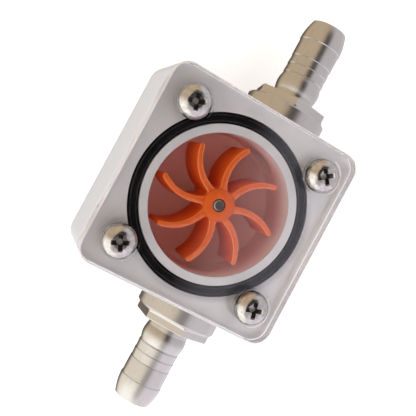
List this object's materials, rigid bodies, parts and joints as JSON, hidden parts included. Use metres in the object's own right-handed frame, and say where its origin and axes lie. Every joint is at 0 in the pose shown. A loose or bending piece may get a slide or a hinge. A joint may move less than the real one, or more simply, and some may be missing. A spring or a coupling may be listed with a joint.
{
  "type": "turbine flow meter",
  "caption": "Square metal sight-glass turbine flow meter: curved-vane rotor behind a clear cover, round collars, hexagons and hose barbs on two opposite sides.",
  "frame": {"origin": "middle of the flat back face, the lowest face when the meter lies on its back", "axes": "+Z from the back face to the clear cover, +Y along the flow from inlet to outlet, +X to the side on which the flow axis is offset"},
  "size_m": [0.05, 0.1048, 0.0306],
  "materials": {
    "body_metal": "satin cast and machined",
    "clear_cover": "clear acrylic, polished faces and sawn edges",
    "black_rubber": "smooth moulded rubber",
    "screw_steel": "bright stainless",
    "orange_plastic": "semi-gloss moulded orange",
    "shaft_steel": "ground steel",
    "washer_plastic": "smooth low-friction plastic",
    "fitting_metal": "bright turned stainless with fine turning marks"
  },
  "bodies": {
    "meter_body": {"housing": "body_metal", "front_cover": "clear_cover", "cover_o_ring": "black_rubber", "cover_screw_1": "screw_steel", "cover_screw_2": "screw_steel", "cover_screw_3": "screw_steel", "cover_screw_4": "screw_steel", "rotor_shaft": "shaft_steel", "thrust_washer": "washer_plastic", "inlet_fitting": "fitting_metal", "outlet_fitting": "fitting_metal", "inlet_o_ring": "black_rubber", "outlet_o_ring": "black_rubber"},
    "rotor_wheel": {"rotor": "orange_plastic"}
  },
  "joints": [
    {"name": "rotor_spin", "type": "hinge", "parent": "meter_body", "child": "rotor_wheel", "pos_m": [0, 0, 0.01555], "axis": [0, 0, 1], "continuous": true}
  ]
}
